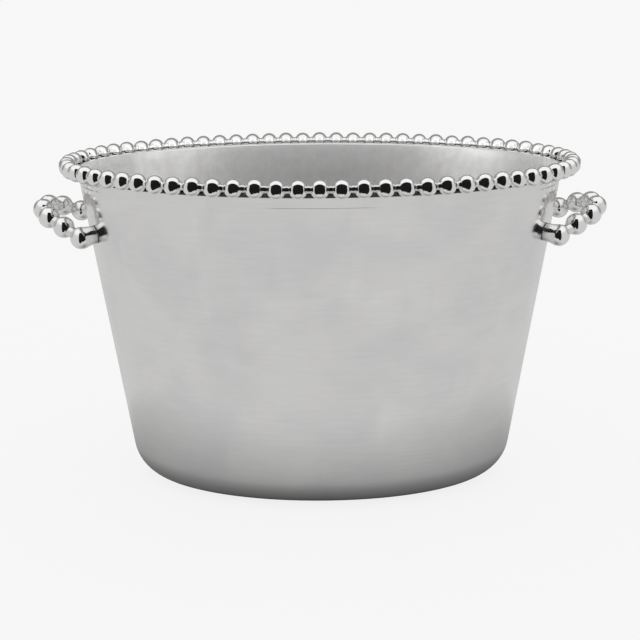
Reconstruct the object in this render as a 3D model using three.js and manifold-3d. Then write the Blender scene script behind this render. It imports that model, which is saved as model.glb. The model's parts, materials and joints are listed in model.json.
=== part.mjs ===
// Oval two-bottle champagne bucket: a cast shell, a beaded border round its lip and a beaded loop handle
// at each end, each handle drawn up to the wall by two screws put in from inside.
// Millimetres, +Z up, long axis along X, origin under the middle of the flat base.
import * as THREE from "three";
import { mergeVertices } from "three/addons/utils/BufferGeometryUtils.js";
import Module from "manifold-3d";

const wasm = await Module();
wasm.setup();

// Overall sizes of the oval, taken at the line through the middles of the border beads.
const RIM_HALF_LENGTH = 160;
const RIM_HALF_WIDTH = 117.5;
const BORDER_HEIGHT = 207.5;
// Base oval, at the sharp corner the rounded bottom edge replaces.
const BASE_HALF_LENGTH = 121.8;
const BASE_HALF_WIDTH = 77.5;
const BOTTOM_ROUND = 26;
const WALL_THICKNESS = 4;
const FLOOR_THICKNESS = 5;

// Beaded border.
const BORDER_BEADS = 72;
const BORDER_BEAD_DIAMETER = 10.8;
const BORDER_NECK_SHARE = 0.392;
const BORDER_SEAM = 0.3;

// Lip of the shell: how far its top sits under the bead middles, and the shoulder flared out under the
// beads, which meets each bead at this angle below level and fades into the wall over this depth.
const LIP_DROP = 2.2;
const SHOULDER_ANGLE = 45;
const SHOULDER_DEPTH = 6;

// Handles.
const HANDLE_BEAD_DIAMETER = 13.4;
const HANDLE_NECK_DIAMETER = 7;
const HANDLE_LEG_DIAMETER = 11;
const HANDLE_FOOT_OFFSET = 35;
const HANDLE_FOOT_DROP = 39.9;
const HANDLE_LEG_LENGTH = 9;
const HANDLE_REACH = 29;
const LOOP_HALF_SPAN = 32;
const LOOP_HALF_DEPTH = 25.8;
const LOOP_RISE_ANGLE = 24.2;
const LOOP_BEADS = 6;
const HANDLE_SEAM = 0.3;

// Screws and washers.
const SCREW_DIAMETER = 5;
const SCREW_GRIP = 13;
const SCREW_HEAD_DIAMETER = 9;
const SCREW_HEAD_HEIGHT = 3;
const SLOT_WIDTH = 1.2;
const SLOT_DEPTH = 1.1;
const WASHER_DIAMETER = 11.5;
const WASHER_THICKNESS = 1;
const HOLE_CLEARANCE = 0.35;
const WASHER_STANDOFF = 0.6;
const HEAD_STANDOFF = 0.3;

// Mesh fineness.
const OVAL_SEGMENTS = 72;
const ROUND_STEPS = 5;
const BORDER_SIDES = 8;
const BORDER_PATH_STEPS = 3600;
const HANDLE_SIDES = 10;
const SCREW_SIDES = 14;

const BORDER_BEAD_RADIUS = BORDER_BEAD_DIAMETER / 2;
const HANDLE_BEAD_RADIUS = HANDLE_BEAD_DIAMETER / 2;
const WALL_SETBACK = BORDER_BEAD_RADIUS + BORDER_SEAM;
const LIP_HEIGHT = BORDER_HEIGHT - LIP_DROP;
const SHOULDER_DROP = WALL_SETBACK * Math.sin(THREE.MathUtils.degToRad(SHOULDER_ANGLE));
const SHOULDER_HEIGHT = BORDER_HEIGHT - SHOULDER_DROP;
const BORE_RADIUS = SCREW_DIAMETER / 2 + HOLE_CLEARANCE;

// Half length and half width of the outside of the wall at a height, before the bottom is rounded.
function wallOval(z) {
  const share = z / BORDER_HEIGHT;
  const topLength = RIM_HALF_LENGTH - WALL_SETBACK;
  const topWidth = RIM_HALF_WIDTH - WALL_SETBACK;
  return {
    length: BASE_HALF_LENGTH + (topLength - BASE_HALF_LENGTH) * share,
    width: BASE_HALF_WIDTH + (topWidth - BASE_HALF_WIDTH) * share,
  };
}

// Slope of the wall from upright, in radians, averaged between the long and the short way.
function wallSlope() {
  const top = wallOval(BORDER_HEIGHT);
  const base = wallOval(0);
  const lean = (top.length - base.length + top.width - base.width) / 2;
  return Math.atan2(lean, BORDER_HEIGHT);
}

// How far the shoulder under the beads stands out from the sloping wall where it meets the beads.
function shoulderFlare() {
  const toBeads = WALL_SETBACK * (1 - Math.cos(THREE.MathUtils.degToRad(SHOULDER_ANGLE)));
  return toBeads + SHOULDER_DROP * Math.tan(wallSlope());
}

// One ring of the shell: a height and how far the oval there lies inside the sloping outer wall.
function ring(z, inset) {
  return { z, inset };
}

// Rings of a rounded corner between a floor at floorZ and a wall set in by wallInset.
function roundedCorner(floorZ, radius, wallInset) {
  const slope = wallSlope();
  const sweep = Math.PI / 2 - slope;
  const run = radius * Math.tan(sweep / 2);
  const centreZ = floorZ + radius;
  const rings = [];
  for (let step = 0; step <= ROUND_STEPS; step += 1) {
    const turn = (sweep * step) / ROUND_STEPS;
    const z = centreZ - radius * Math.cos(turn);
    const fromCorner = run - radius * Math.sin(turn);
    rings.push(ring(z, wallInset + fromCorner + (z - floorZ) * Math.tan(slope)));
  }
  return rings;
}

// Points of one oval ring, anticlockwise seen from above.
function ovalPoints(at) {
  const wall = wallOval(at.z);
  const points = [];
  for (let i = 0; i < OVAL_SEGMENTS; i += 1) {
    const turn = (2 * Math.PI * i) / OVAL_SEGMENTS;
    const x = (wall.length - at.inset) * Math.cos(turn);
    const y = (wall.width - at.inset) * Math.sin(turn);
    points.push([x, y, at.z]);
  }
  return points;
}

// Closed surface through a run of point loops, each end shut by a fan to its own middle.
function skin(loops) {
  const sides = loops[0].length;
  const points = loops.flat();
  const triangles = [];
  for (let row = 0; row + 1 < loops.length; row += 1) {
    for (let i = 0; i < sides; i += 1) {
      const a = row * sides + i;
      const b = row * sides + ((i + 1) % sides);
      triangles.push(a, b, b + sides);
      triangles.push(a, b + sides, a + sides);
    }
  }
  const ends = [loops[0], loops[loops.length - 1]];
  ends.forEach((loop, end) => {
    const first = end * (loops.length - 1) * sides;
    const middle = points.length;
    points.push([0, 1, 2].map((k) => loop.reduce((sum, p) => sum + p[k], 0) / sides));
    for (let i = 0; i < sides; i += 1) {
      const a = first + i;
      const b = first + ((i + 1) % sides);
      if (end === 0) triangles.push(b, a, middle);
      else triangles.push(a, b, middle);
    }
  });
  return surface(points, triangles);
}

// Closed surface through loops that run round and meet again, with no ends.
function endlessSkin(loops) {
  const sides = loops[0].length;
  const triangles = [];
  loops.forEach((loop, row) => {
    const next = (row + 1) % loops.length;
    for (let i = 0; i < sides; i += 1) {
      const j = (i + 1) % sides;
      triangles.push(row * sides + i, next * sides + j, row * sides + j);
      triangles.push(row * sides + i, next * sides + i, next * sides + j);
    }
  });
  return surface(loops.flat(), triangles);
}

function surface(points, triangles) {
  const geometry = new THREE.BufferGeometry();
  geometry.setAttribute("position", new THREE.Float32BufferAttribute(points.flat(), 3));
  geometry.setIndex(triangles);
  return geometry;
}

// A three.js geometry as a solid for booleans.
function solidOf(geometry) {
  const bare = geometry.clone();
  bare.deleteAttribute("normal");
  bare.deleteAttribute("uv");
  const merged = mergeVertices(bare, 1e-4);
  const made = new wasm.Manifold(
    new wasm.Mesh({
      numProp: 3,
      vertProperties: new Float32Array(merged.attributes.position.array),
      triVerts: new Uint32Array(merged.index.array),
    }),
  );
  return made;
}

// A solid back as a three.js geometry.
function geometryOf(solid) {
  const mesh = solid.getMesh();
  const geometry = new THREE.BufferGeometry();
  const values = new Float32Array(mesh.vertProperties);
  geometry.setAttribute("position", new THREE.BufferAttribute(values, 3));
  geometry.setIndex(new THREE.BufferAttribute(new Uint32Array(mesh.triVerts), 1));
  const split = geometry.toNonIndexed();
  split.computeVertexNormals();
  return split;
}

// The outside of the shell from the middle of the base up to the lip, as rings.
function outsideRings() {
  const rings = roundedCorner(0, BOTTOM_ROUND, 0);
  for (const [down, out] of [[1, 0], [0.6, 0.08], [0.3, 0.35], [0.1, 0.75], [0, 1]]) {
    rings.push(ring(SHOULDER_HEIGHT - SHOULDER_DEPTH * down, -shoulderFlare() * out));
  }
  return rings;
}

// The lip's rounded top edge and then the inside of the shell down to the middle of the floor.
function insideRings() {
  const half = WALL_THICKNESS / 2;
  const rings = [];
  for (const share of [0, 0.33, 0.67, 1]) {
    const turn = Math.PI * share;
    const inset = half - half * Math.cos(turn);
    rings.push(ring(LIP_HEIGHT - half * 0.6 + half * 0.6 * Math.sin(turn), inset));
  }
  const corner = roundedCorner(FLOOR_THICKNESS, BOTTOM_ROUND - WALL_THICKNESS, WALL_THICKNESS);
  rings.push(...corner.reverse());
  return rings;
}

// The solid a wall is cut from: the shell's outside grown by a clearance, as tall as the lip.
function wallEnvelope(clearance) {
  const grown = roundedCorner(0, BOTTOM_ROUND, 0);
  grown.push(ring(LIP_HEIGHT, 0));
  return solidOf(skin(grown.map((at) => ovalPoints(ring(at.z, at.inset - clearance)))));
}

// Where a handle leg meets the wall: the point on the outer surface and the outward direction there.
function handleFoot(side, row) {
  const z = BORDER_HEIGHT - HANDLE_FOOT_DROP;
  const wall = wallOval(z);
  const y = row * HANDLE_FOOT_OFFSET;
  const x = side * wall.length * Math.sqrt(1 - (y / wall.width) ** 2);
  const out = new THREE.Vector3(x / wall.length ** 2, y / wall.width ** 2, 0).normalize();
  out.z = -Math.tan(wallSlope());
  return { point: new THREE.Vector3(x, y, z), out: out.normalize() };
}

// A cylinder of given radius from one point to another.
function rod(from, to, radius, sides) {
  const along = to.clone().sub(from);
  const shape = new THREE.CylinderGeometry(radius, radius, along.length(), sides);
  shape.applyQuaternion(turnTo(along.clone().normalize()));
  const middle = from.clone().add(to).multiplyScalar(0.5);
  shape.translate(middle.x, middle.y, middle.z);
  return shape;
}

// The turn that carries a shape built along Y onto a direction.
function turnTo(direction) {
  return new THREE.Quaternion().setFromUnitVectors(new THREE.Vector3(0, 1, 0), direction);
}

// Bore for a handle screw, running from inside the bucket to past the end of the screw.
function screwBore(side, row, reach) {
  const foot = handleFoot(side, row);
  const from = foot.point.clone().addScaledVector(foot.out, -WALL_THICKNESS * 3);
  const to = foot.point.clone().addScaledVector(foot.out, reach);
  return solidOf(rod(from, to, BORE_RADIUS, SCREW_SIDES));
}

function bucketShell() {
  const loops = [...outsideRings(), ...insideRings()].map(ovalPoints);
  let solid = solidOf(skin(loops));
  for (const side of [-1, 1]) {
    for (const row of [-1, 1]) solid = solid.subtract(screwBore(side, row, WALL_THICKNESS));
  }
  return geometryOf(solid);
}

// Distance travelled round the border oval, from the middle of the front, at each of many small turns.
function borderDistances() {
  const distances = [0];
  for (let step = 1; step <= BORDER_PATH_STEPS; step += 1) {
    const [x0, y0] = borderPoint((2 * Math.PI * (step - 1)) / BORDER_PATH_STEPS);
    const [x1, y1] = borderPoint((2 * Math.PI * step) / BORDER_PATH_STEPS);
    distances.push(distances[step - 1] + Math.hypot(x1 - x0, y1 - y0));
  }
  return distances;
}

function borderPoint(turn) {
  return [RIM_HALF_LENGTH * Math.sin(turn), -RIM_HALF_WIDTH * Math.cos(turn)];
}

// The turn reached after travelling a distance round the border oval, either way.
function turnAfter(distances, travelled) {
  const total = distances[BORDER_PATH_STEPS];
  const goal = ((travelled % total) + total) % total;
  const step = Math.max(0, distances.findIndex((distance) => distance > goal) - 1);
  const part = (goal - distances[step]) / (distances[step + 1] - distances[step]);
  return (2 * Math.PI * (step + part)) / BORDER_PATH_STEPS;
}

// Places along the border oval at the given offsets from each bead's middle, evenly spaced by distance.
function borderStations(offsets) {
  const distances = borderDistances();
  const pitch = distances[BORDER_PATH_STEPS] / BORDER_BEADS;
  const found = [];
  for (let bead = 0; bead < BORDER_BEADS; bead += 1) {
    for (const offset of offsets) {
      const turn = turnAfter(distances, pitch * bead + offset * BORDER_BEAD_RADIUS);
      const [x, y] = borderPoint(turn);
      const out = new THREE.Vector2(x / RIM_HALF_LENGTH ** 2, y / RIM_HALF_WIDTH ** 2);
      found.push({ x, y, out: out.normalize(), offset });
    }
  }
  return found;
}

// How thick a bead string is at an offset from a bead's middle, both as shares of the bead's radius.
function beadShare(offset, neckShare) {
  return Math.max(neckShare, Math.sqrt(Math.max(0, 1 - offset * offset)));
}

function beadedBorder() {
  const offsets = [-0.92, -0.6, 0, 0.6, 0.92];
  const loops = borderStations(offsets).map((station) => {
    const radius = BORDER_BEAD_RADIUS * beadShare(station.offset, BORDER_NECK_SHARE);
    const loop = [];
    for (let i = 0; i < BORDER_SIDES; i += 1) {
      const turn = (2 * Math.PI * i) / BORDER_SIDES;
      const out = radius * Math.cos(turn);
      const up = radius * Math.sin(turn);
      loop.push([
        station.x + station.out.x * out,
        station.y + station.out.y * out,
        BORDER_HEIGHT + up,
      ]);
    }
    return loop;
  });
  return endlessSkin(loops);
}

// The bead middles of one handle, from its front leg round to its back leg.
function handleBeads(side) {
  const rise = THREE.MathUtils.degToRad(LOOP_RISE_ANGLE);
  const legs = [-1, 1].map((row) => {
    const foot = handleFoot(side, row);
    return foot.point.clone().addScaledVector(foot.out, HANDLE_LEG_LENGTH);
  });
  const wall = wallOval(BORDER_HEIGHT - HANDLE_FOOT_DROP);
  const endX = wall.length + HANDLE_REACH;
  const centreX = endX - LOOP_HALF_DEPTH * Math.cos(rise);
  const legX = Math.abs(legs[0].x);
  const centreZ = legs[0].z + (centreX - legX) * Math.tan(rise);
  const beads = [legs[0]];
  for (let i = 0; i < LOOP_BEADS; i += 1) {
    const turn = (Math.PI * (i + 0.5)) / LOOP_BEADS;
    const reach = LOOP_HALF_DEPTH * Math.sin(turn);
    const x = centreX + reach * Math.cos(rise);
    const y = -LOOP_HALF_SPAN * Math.cos(turn);
    beads.push(new THREE.Vector3(side * x, y, centreZ + reach * Math.sin(rise)));
  }
  beads.push(legs[1]);
  return beads;
}

// A ball as a solid, sized so that its flat faces stay inside the true ball.
function ball(middle, radius) {
  const shape = new THREE.SphereGeometry(radius, HANDLE_SIDES, HANDLE_SIDES / 2 + 1);
  shape.rotateX(Math.PI / 2);
  shape.translate(middle.x, middle.y, middle.z);
  return solidOf(shape);
}

function beadedHandle(side) {
  const beads = handleBeads(side);
  let solid = beads
    .map((middle) => ball(middle, HANDLE_BEAD_RADIUS))
    .reduce((all, next) => all.add(next));
  for (let i = 0; i + 1 < beads.length; i += 1) {
    solid = solid.add(solidOf(rod(beads[i], beads[i + 1], HANDLE_NECK_DIAMETER / 2, HANDLE_SIDES)));
  }
  for (const row of [-1, 1]) {
    const foot = handleFoot(side, row);
    const start = foot.point.clone().addScaledVector(foot.out, -WALL_THICKNESS);
    const end = foot.point.clone().addScaledVector(foot.out, HANDLE_LEG_LENGTH);
    solid = solid.add(solidOf(rod(start, end, HANDLE_LEG_DIAMETER / 2, HANDLE_SIDES)));
  }
  solid = solid.subtract(wallEnvelope(HANDLE_SEAM));
  for (const row of [-1, 1]) {
    solid = solid.subtract(screwBore(side, row, screwSeat() + SCREW_GRIP + HOLE_CLEARANCE));
  }
  return geometryOf(solid);
}

// How far outwards from the outer face of the wall the underside of a screw head sits (below zero: inside).
function screwSeat() {
  return -WALL_THICKNESS - WASHER_STANDOFF - WASHER_THICKNESS - HEAD_STANDOFF;
}

// Point on a screw's axis at a distance outwards from the outer face of the wall.
function onScrewAxis(foot, distance) {
  return foot.point.clone().addScaledVector(foot.out, distance);
}

function handleWasher(side, row) {
  const foot = handleFoot(side, row);
  const outer = -WALL_THICKNESS - WASHER_STANDOFF;
  const from = onScrewAxis(foot, outer - WASHER_THICKNESS);
  const disc = solidOf(rod(from, onScrewAxis(foot, outer), WASHER_DIAMETER / 2, SCREW_SIDES));
  return geometryOf(disc.subtract(screwBore(side, row, WALL_THICKNESS)));
}

function handleScrew(side, row) {
  const foot = handleFoot(side, row);
  const seat = screwSeat();
  const tip = seat + SCREW_GRIP;
  const rim = SCREW_HEAD_DIAMETER / 2;
  const profile = [
    [0, tip],
    [SCREW_DIAMETER * 0.38, tip],
    [SCREW_DIAMETER / 2, tip - SCREW_DIAMETER * 0.15],
    [SCREW_DIAMETER / 2, seat],
    [rim, seat],
    [rim, seat - SCREW_HEAD_HEIGHT * 0.3],
    [rim * 0.78, seat - SCREW_HEAD_HEIGHT * 0.75],
    [rim * 0.4, seat - SCREW_HEAD_HEIGHT],
    [0, seat - SCREW_HEAD_HEIGHT],
  ];
  const points = profile.map(([r, h]) => new THREE.Vector2(r, h)).reverse();
  const body = new THREE.LatheGeometry(points, SCREW_SIDES);
  const slot = new THREE.BoxGeometry(SCREW_HEAD_DIAMETER * 1.5, SLOT_DEPTH * 2, SLOT_WIDTH);
  slot.translate(0, seat - SCREW_HEAD_HEIGHT, 0);
  const made = geometryOf(solidOf(body).subtract(solidOf(slot)));
  made.applyQuaternion(turnTo(foot.out));
  made.translate(foot.point.x, foot.point.y, foot.point.z);
  return made;
}

function satinAluminium() {
  return new THREE.MeshStandardMaterial({ color: 0xc2c3c4, roughness: 0.34, metalness: 1 });
}

function brightAluminium() {
  return new THREE.MeshStandardMaterial({ color: 0xdcdddf, roughness: 0.08, metalness: 1 });
}

function stainlessSteel() {
  return new THREE.MeshStandardMaterial({ color: 0xb3b4b6, roughness: 0.25, metalness: 1 });
}

const group = new THREE.Group();

function addPiece(name, geometry, material) {
  const mesh = new THREE.Mesh(geometry, material);
  mesh.name = name;
  group.add(mesh);
}

const SIDES = { left: -1, right: 1 };
const ROWS = { front: -1, back: 1 };

addPiece("bucket_shell", bucketShell(), satinAluminium());
addPiece("beaded_border", beadedBorder(), brightAluminium());
for (const [sideName, side] of Object.entries(SIDES)) {
  addPiece(`handle_${sideName}`, beadedHandle(side), brightAluminium());
  for (const [rowName, row] of Object.entries(ROWS)) {
    addPiece(`handle_screw_${sideName}_${rowName}`, handleScrew(side, row), stainlessSteel());
    addPiece(`handle_washer_${sideName}_${rowName}`, handleWasher(side, row), stainlessSteel());
  }
}

export default group;
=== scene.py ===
"""Oval two-bottle champagne bucket: a satin cast shell with a mirror-polished beaded border and handles.

Everything is in metres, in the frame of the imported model: +Z up, the long axis along X and the origin
under the middle of the flat base.
"""

import json
import logging
import math
import random
from dataclasses import dataclass, field
from enum import Enum
from typing import Callable, Optional, Sequence

import bpy
from mathutils import Matrix, Vector, noise

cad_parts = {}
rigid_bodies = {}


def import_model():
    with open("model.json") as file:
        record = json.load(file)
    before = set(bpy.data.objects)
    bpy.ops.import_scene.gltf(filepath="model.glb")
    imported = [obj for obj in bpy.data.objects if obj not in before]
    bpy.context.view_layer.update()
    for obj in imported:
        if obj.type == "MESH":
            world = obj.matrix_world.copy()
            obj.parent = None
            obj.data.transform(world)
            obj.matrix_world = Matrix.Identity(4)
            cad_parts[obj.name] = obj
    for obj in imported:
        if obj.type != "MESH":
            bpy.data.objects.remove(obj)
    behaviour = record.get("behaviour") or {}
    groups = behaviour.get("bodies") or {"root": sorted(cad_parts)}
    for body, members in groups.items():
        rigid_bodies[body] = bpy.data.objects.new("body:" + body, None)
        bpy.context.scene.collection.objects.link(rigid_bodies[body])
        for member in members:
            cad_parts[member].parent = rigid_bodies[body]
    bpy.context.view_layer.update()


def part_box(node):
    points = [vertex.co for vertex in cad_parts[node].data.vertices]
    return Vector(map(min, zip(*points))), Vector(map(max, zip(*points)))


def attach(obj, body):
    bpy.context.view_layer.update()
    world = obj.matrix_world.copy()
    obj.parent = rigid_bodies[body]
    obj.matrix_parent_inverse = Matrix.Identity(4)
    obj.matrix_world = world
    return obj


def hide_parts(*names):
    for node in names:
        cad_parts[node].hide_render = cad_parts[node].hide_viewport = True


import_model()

MM = 0.001
ROOT_BODY = "root"
UP = Vector((0.0, 0.0, 1.0))

Pair = tuple[float, float]
Colour = tuple[float, float, float]
Axes = tuple[float, float, float]
Loop = list[Vector]

log = logging.getLogger("bucket")


class Side(Enum):
    """The two ends of the oval."""

    LEFT = -1
    RIGHT = 1


class Row(Enum):
    """The two legs of a handle."""

    FRONT = -1
    BACK = 1


class Slot(Enum):
    """The record's material slots."""

    SATIN = "satin_aluminium"
    BRIGHT = "bright_aluminium"
    SCREWS = "stainless_screws"


class ShellFinish(Enum):
    """The shell's finishes, numbered as its materials are."""

    SATIN = 0
    GRAINY = 1
    # The band under the beads, with shade painted into its colour.
    DULLED = 2


def spaced(count: int) -> list[float]:
    """Evenly spaced shares from 0 to 1, both ends in."""
    return [step / count for step in range(count + 1)]


def eased(share: float, start: float, end: float) -> float:
    """Smooth step from 0 at start to 1 at end."""
    t = min(1.0, max(0.0, (share - start) / (end - start)))
    return t * t * (3.0 - 2.0 * t)


# ---------------------------------------------------------------------------------------------
# Finishes
# ---------------------------------------------------------------------------------------------


class FinishBench:
    """One finish under construction: a metal shader and short calls for the textures that feed it."""

    def __init__(self, name: str) -> None:
        """Starts a bare finish.

        Args:
            name: the material's name.
        """
        self.material = bpy.data.materials.new(name)
        self.material.use_nodes = True
        self.tree = self.material.node_tree
        self.tree.nodes.clear()
        self.shader = self.tree.nodes.new("ShaderNodeBsdfPrincipled")
        output = self.tree.nodes.new("ShaderNodeOutputMaterial")
        self.tree.links.new(self.shader.outputs["BSDF"], output.inputs["Surface"])
        self.place = self.tree.nodes.new("ShaderNodeTexCoord").outputs["Object"]

    def join(self, value: object, socket: bpy.types.NodeSocket) -> None:
        """Feeds a socket from another socket, or sets it to a plain value."""
        if isinstance(value, bpy.types.NodeSocket):
            self.tree.links.new(value, socket)
        else:
            socket.default_value = value

    def stretched(self, stretch: Axes) -> bpy.types.NodeSocket:
        """The piece's own coordinates, scaled along each axis.

        Args:
            stretch: the scale along each axis.

        Returns:
            The scaled coordinates.
        """
        mapping = self.tree.nodes.new("ShaderNodeMapping")
        mapping.inputs["Scale"].default_value = stretch
        self.join(self.place, mapping.inputs["Vector"])
        return mapping.outputs["Vector"]

    def mottle(
        self,
        size: float,
        detail: float = 2.0,
        stretch: Axes = (1.0, 1.0, 1.0),
        wander: float = 0.0,
    ) -> bpy.types.NodeSocket:
        """Cloudy noise.

        Args:
            size: rough width of one patch, in metres.
            detail: how many finer layers ride on it.
            stretch: scale along each axis, below 1 where the patches run long.
            wander: how much the patches are drawn out of shape.

        Returns:
            The noise, about 0.5 on average.
        """
        texture = self.tree.nodes.new("ShaderNodeTexNoise")
        self.join(self.stretched(stretch), texture.inputs["Vector"])
        texture.inputs["Scale"].default_value = 1.0 / size
        texture.inputs["Detail"].default_value = detail
        texture.inputs["Distortion"].default_value = wander
        return texture.outputs[0]

    def scaled(
        self, value: bpy.types.NodeSocket, low: float, high: float, spread: float = 0.3
    ) -> bpy.types.NodeSocket:
        """Noise brought from its middle range to a range of its own.

        Args:
            value: noise about 0.5 on average.
            low: result where the noise is low.
            high: result where the noise is high.
            spread: how far either side of 0.5 the noise is taken to reach.

        Returns:
            The value between low and high.
        """
        mapped = self.tree.nodes.new("ShaderNodeMapRange")
        self.join(value, mapped.inputs["Value"])
        mapped.inputs["From Min"].default_value = 0.5 - spread
        mapped.inputs["From Max"].default_value = 0.5 + spread
        mapped.inputs["To Min"].default_value = low
        mapped.inputs["To Max"].default_value = high
        return mapped.outputs["Result"]

    def worked(self, operation: str, first: object, second: object) -> bpy.types.NodeSocket:
        """Two values worked into one.

        Args:
            operation: what is done with them, such as ADD or MULTIPLY.
            first: a number, or a socket that gives one.
            second: a number, or a socket that gives one.

        Returns:
            The result.
        """
        node = self.tree.nodes.new("ShaderNodeMath")
        node.operation = operation
        self.join(first, node.inputs[0])
        self.join(second, node.inputs[1])
        return node.outputs[0]

    def between(self, share: object, first: object, second: object) -> bpy.types.NodeSocket:
        """A colour between two others.

        Args:
            share: 0 for the first, 1 for the second.
            first: a colour, or a socket that gives one.
            second: a colour, or a socket that gives one.

        Returns:
            The mixed colour.
        """
        node = self.tree.nodes.new("ShaderNodeMix")
        node.data_type = "RGBA"
        self.join(share, node.inputs[0])
        for value, socket in ((first, node.inputs[6]), (second, node.inputs[7])):
            plain = not isinstance(value, bpy.types.NodeSocket)
            self.join((*value, 1.0) if plain else value, socket)
        return node.outputs[2]

    def openness(self, reach: float, samples: int = 8) -> bpy.types.NodeSocket:
        """How open the surface is, looked for within a reach.

        Args:
            reach: how far away a neighbouring surface counts, in metres.
            samples: how many directions are tried.

        Returns:
            The openness, from 0 deep in a crevice to 1 in the open.
        """
        node = self.tree.nodes.new("ShaderNodeAmbientOcclusion")
        node.samples = samples
        node.inputs["Distance"].default_value = reach
        return node.outputs["AO"]

    def relief(self, height: object, depth: float, below: Optional[object] = None) -> object:
        """Bump from a height.

        Args:
            height: the height, from 0 to 1.
            depth: how deep the relief is, in metres.
            below: the normal of a relief that this one lies on.

        Returns:
            The bumped normal.
        """
        node = self.tree.nodes.new("ShaderNodeBump")
        node.inputs["Distance"].default_value = depth
        self.join(height, node.inputs["Height"])
        if below is not None:
            self.join(below, node.inputs["Normal"])
        return node.outputs["Normal"]

    def metal(self, colour: object, roughness: object, normal: object) -> bpy.types.Material:
        """Finishes a bare metal.

        Args:
            colour: the metal's colour, or a socket that gives it.
            roughness: how rough it is, or a socket that gives it.
            normal: the normal with its relief.

        Returns:
            The finished material.
        """
        self.join(colour, self.shader.inputs["Base Color"])
        self.join(roughness, self.shader.inputs["Roughness"])
        self.join(normal, self.shader.inputs["Normal"])
        self.shader.inputs["Metallic"].default_value = 1.0
        return self.material


@dataclass(frozen=True)
class SatinAluminium:
    """Cast aluminium rubbed down by hand, with cloudy wear, long rubbing marks, grain and dimples."""

    name: str = "satin_cast_aluminium"
    tone: Colour = (0.905, 0.90, 0.882)
    worn_tone: Colour = (0.835, 0.825, 0.83)
    tone_spread: float = 0.2
    roughness: Pair = (0.11, 0.18)
    cloud_size: float = 42 * MM
    cloud_wander: float = 0.6
    streak_size: float = 2.5 * MM
    streak_stretch: Axes = (0.14, 0.14, 1.6)
    streak_depth: float = 0.006 * MM
    streak_tone: float = 0.25
    streak_roughness: float = 0.02
    grain_size: float = 0.7 * MM
    grain_depth: float = 0.006 * MM
    dimple_size: float = 14 * MM
    dimple_depth: float = 0.04 * MM

    def material(self) -> bpy.types.Material:
        """Builds the finish."""
        bench = FinishBench(self.name)
        clouds = bench.mottle(self.cloud_size, detail=3.0, wander=self.cloud_wander)
        streaks = bench.mottle(self.streak_size, detail=3.0, stretch=self.streak_stretch)
        grain = bench.mottle(self.grain_size)
        dimples = bench.mottle(self.dimple_size, detail=1.0)
        worn = bench.scaled(clouds, 0.0, 1.0, self.tone_spread)
        worn = bench.worked("ADD", worn, bench.scaled(streaks, -self.streak_tone, self.streak_tone))
        colour = bench.between(worn, self.tone, self.worn_tone)
        rough = bench.scaled(clouds, *self.roughness)
        streaky = bench.scaled(streaks, -self.streak_roughness, self.streak_roughness)
        rough = bench.worked("ADD", rough, streaky)
        normal = bench.relief(dimples, self.dimple_depth)
        normal = bench.relief(streaks, self.streak_depth, normal)
        normal = bench.relief(grain, self.grain_depth, normal)
        return bench.metal(colour, rough, normal)


@dataclass(frozen=True)
class MirrorAluminium:
    """Aluminium polished to a mirror, a little wavy, with hairline wipe marks, and crevices that are
    rougher and darkened with painted shade.
    """

    name: str = "mirror_aluminium"
    tone: Colour = (0.93, 0.928, 0.922)
    # Colour painted into crevices as shade.
    painted_crevice_shade: Colour = (0.22, 0.215, 0.21)
    crevice_reach: float = 2.2 * MM
    crevice_shift: float = 0.12
    crevice_spread: float = 0.35
    crevice_roughness: float = 0.22
    edge_tint: Colour = (1.0, 1.0, 1.0)
    roughness: Pair = (0.035, 0.09)
    patch_size: float = 9 * MM
    patch_wander: float = 0.5
    wave_size: float = 5 * MM
    wave_depth: float = 0.06 * MM
    hairline_size: float = 0.8 * MM
    hairline_stretch: Axes = (1.0, 0.15, 1.0)
    hairline_wander: float = 0.8
    hairline_depth: float = 0.002 * MM

    def material(self) -> bpy.types.Material:
        """Builds the finish."""
        bench = FinishBench(self.name)
        patches = bench.mottle(self.patch_size, detail=3.0, wander=self.patch_wander)
        waves = bench.mottle(self.wave_size, detail=1.0)
        hairlines = bench.mottle(
            self.hairline_size, detail=4.0, stretch=self.hairline_stretch, wander=self.hairline_wander
        )
        # Painted shade: where ambient occlusion finds the surface closed in, the colour is darkened
        # towards the crevice tone, and the metal is made rougher there.
        openness = bench.worked("ADD", bench.openness(self.crevice_reach), -self.crevice_shift)
        closed = bench.scaled(openness, 1.0, 0.0, self.crevice_spread)
        colour = bench.between(closed, self.tone, self.painted_crevice_shade)
        rough = bench.scaled(patches, *self.roughness)
        rough = bench.worked("ADD", rough, bench.worked("MULTIPLY", closed, self.crevice_roughness))
        normal = bench.relief(waves, self.wave_depth)
        normal = bench.relief(hairlines, self.hairline_depth, normal)
        bench.shader.inputs["Specular Tint"].default_value = (*self.edge_tint, 1.0)
        return bench.metal(colour, rough, normal)


@dataclass(frozen=True)
class TurnedSteel:
    """Stainless steel off the lathe, lightly scuffed."""

    name: str = "turned_stainless"
    tone: Colour = (0.62, 0.61, 0.60)
    scuffed_tone: Colour = (0.50, 0.49, 0.48)
    roughness: Pair = (0.2, 0.36)
    scuff_size: float = 1.6 * MM
    tool_mark_size: float = 0.25 * MM
    tool_mark_stretch: Axes = (1.0, 0.2, 0.2)
    tool_mark_depth: float = 0.004 * MM

    def material(self) -> bpy.types.Material:
        """Builds the finish."""
        bench = FinishBench(self.name)
        scuffs = bench.mottle(self.scuff_size, detail=4.0, wander=1.0)
        marks = bench.mottle(self.tool_mark_size, detail=1.0, stretch=self.tool_mark_stretch)
        colour = bench.between(bench.scaled(scuffs, 0.0, 1.0), self.tone, self.scuffed_tone)
        rough = bench.scaled(scuffs, *self.roughness)
        return bench.metal(colour, rough, bench.relief(marks, self.tool_mark_depth))


# ---------------------------------------------------------------------------------------------
# Shapes
# ---------------------------------------------------------------------------------------------


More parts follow.
